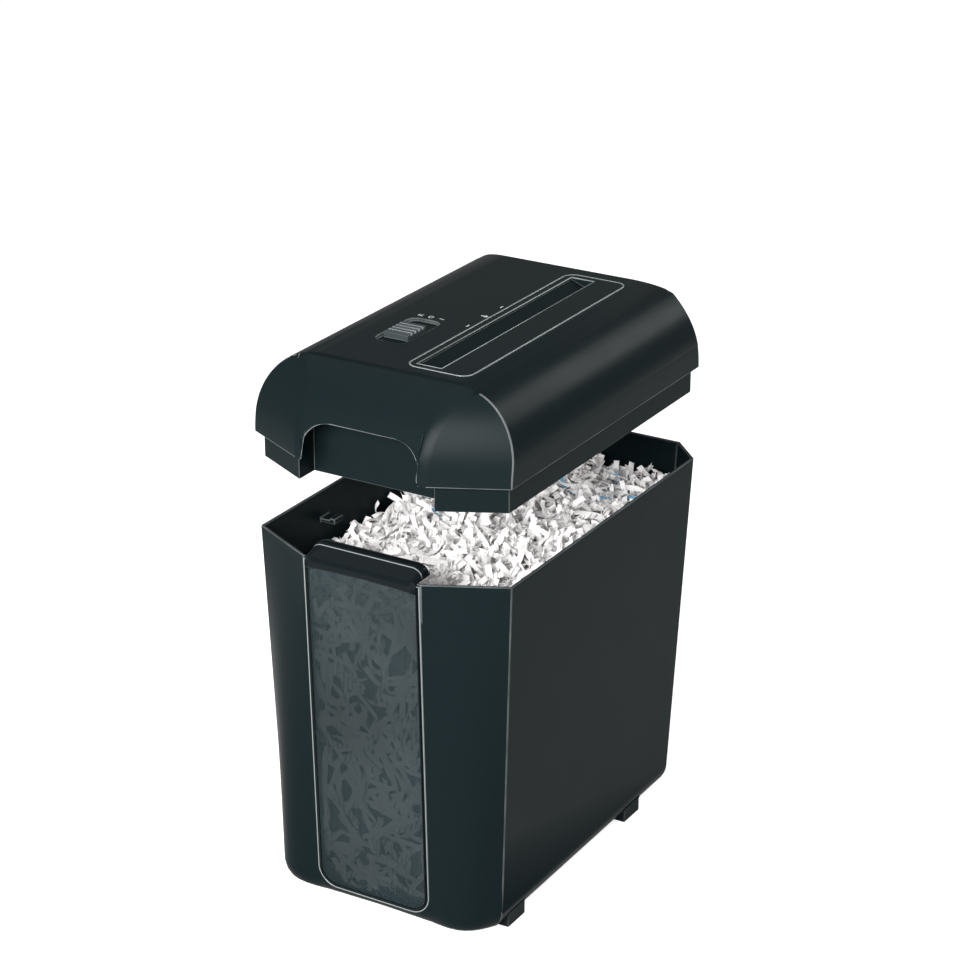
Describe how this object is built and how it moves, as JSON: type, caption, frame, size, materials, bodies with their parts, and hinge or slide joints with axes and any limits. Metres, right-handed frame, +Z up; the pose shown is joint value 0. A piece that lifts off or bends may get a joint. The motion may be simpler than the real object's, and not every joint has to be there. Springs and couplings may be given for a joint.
{
  "type": "paper shredder",
  "caption": "Cross-cut paper shredder: octagonal waste bin with a smoked window and a lift-off cutting head with a top throat, slide switch and hand grips.",
  "frame": {"origin": "on the floor under the centre of the bin rim", "axes": "+Z up; the window end of the bin faces -Y; the throat runs along Y on the +X side of the head"},
  "size_m": [0.218, 0.3441, 0.4377],
  "materials": {
    "bin_plastic": "satin",
    "cover_plastic": "satin",
    "housing_plastic": "satin",
    "panel_plastic": "satin",
    "gloss_black": "glossy",
    "smoked_window": "glossy, smoked, see-through",
    "foot_rubber": "matte",
    "paper": "loose cross-cut shreds",
    "knob_plastic": "satin",
    "steel_plate": "zinc-plated sheet",
    "steel_bright": "turned bright",
    "gear_steel": "sintered",
    "cutter_steel": "ground, oiled",
    "rotor_steel": "laminated",
    "screw_steel": "zinc-plated",
    "bronze": "sintered bronze",
    "gear_nylon": "natural nylon",
    "comb_plastic": "moulded",
    "guide_plastic": "moulded",
    "lever_plastic": "moulded",
    "motor_metal": "satin",
    "fan_plastic": "moulded",
    "board_green": "solder mask",
    "capacitor_sleeve": "sleeved",
    "relay_case": "moulded",
    "switch_case": "moulded",
    "plunger_plastic": "moulded",
    "gland_rubber": "matte"
  },
  "bodies": {
    "bin": {"bin_shell": "bin_plastic", "window_panel": "smoked_window", "window_pull": "gloss_black", "foot_near_left": "foot_rubber", "foot_near_right": "foot_rubber", "foot_far_left": "foot_rubber", "foot_far_right": "foot_rubber", "shredded_paper": "paper"},
    "head": {"top_cover": "cover_plastic", "throat_panel": "panel_plastic", "lower_housing": "housing_plastic", "side_frame_near": "steel_plate", "side_frame_far": "steel_plate", "gear_plate": "steel_plate", "tie_rods": "steel_bright", "gear_pins": "steel_bright", "lever_pivot_pin": "steel_bright", "shaft_bushes": "bronze", "stripper_comb_left": "comb_plastic", "stripper_comb_right": "comb_plastic", "paper_guide_left": "guide_plastic", "paper_guide_right": "guide_plastic", "motor_case": "motor_metal", "motor_screws": "screw_steel", "circuit_board": "board_green", "capacitor": "capacitor_sleeve", "relay": "relay_case", "slide_switch": "switch_case", "safety_switch": "switch_case", "cord_gland": "gland_rubber", "cover_screws": "screw_steel", "frame_screws": "screw_steel"},
    "cutter_left_body": {"cutter_left": "cutter_steel", "sync_gear_left": "gear_steel", "drive_gear": "gear_steel"},
    "cutter_right_body": {"cutter_right": "cutter_steel", "sync_gear_right": "gear_steel"},
    "second_stage": {"second_gear": "gear_nylon"},
    "first_stage": {"first_gear": "gear_nylon"},
    "rotor": {"motor_rotor": "rotor_steel", "motor_pinion": "bronze", "motor_fan": "fan_plastic"},
    "mode_switch": {"mode_knob": "knob_plastic"},
    "plunger": {"safety_plunger": "plunger_plastic"},
    "sensor": {"paper_sensor_lever": "lever_plastic"}
  },
  "joints": [
    {"name": "head_lift", "type": "slide", "parent": "bin", "child": "head", "axis": [0, 0, 1], "range_m": [-0.075, 0.12]},
    {"name": "cutter_left_spin", "type": "hinge", "parent": "head", "child": "cutter_left_body", "pos_m": [0.0145, 0, 0.3843], "axis": [0, 1, 0], "continuous": true},
    {"name": "cutter_right_spin", "type": "hinge", "parent": "head", "child": "cutter_right_body", "pos_m": [0.0485, 0, 0.3843], "axis": [0, 1, 0], "continuous": true},
    {"name": "second_gear_spin", "type": "hinge", "parent": "head", "child": "second_stage", "pos_m": [-0.01148, 0.12, 0.3993], "axis": [0, 1, 0], "continuous": true},
    {"name": "first_gear_spin", "type": "hinge", "parent": "head", "child": "first_stage", "pos_m": [-0.03905, 0.12, 0.39444], "axis": [0, 1, 0], "continuous": true},
    {"name": "motor_spin", "type": "hinge", "parent": "head", "child": "rotor", "pos_m": [-0.06612, 0.07, 0.38459], "axis": [0, 1, 0], "continuous": true},
    {"name": "mode_slide", "type": "slide", "parent": "head", "child": "mode_switch", "axis": [0, 1, 0], "range_m": [-0.007, 0.007]},
    {"name": "safety_press", "type": "slide", "parent": "head", "child": "plunger", "axis": [0, 0, 1], "range_m": [0, 0.003], "stiffness_N_per_m": 200},
    {"name": "sensor_tilt", "type": "hinge", "parent": "head", "child": "sensor", "pos_m": [0.0405, -0.002, 0.4203], "axis": [0, -1, 0], "range_deg": [0, 30], "stiffness_Nm_per_rad": 0.002}
  ],
  "couplings": [
    {"joint": "cutter_right_spin", "follows": "cutter_left_spin", "ratio": -1},
    {"joint": "second_gear_spin", "follows": "cutter_left_spin", "ratio": -3},
    {"joint": "first_gear_spin", "follows": "cutter_left_spin", "ratio": 11},
    {"joint": "motor_spin", "follows": "cutter_left_spin", "ratio": -55}
  ]
}
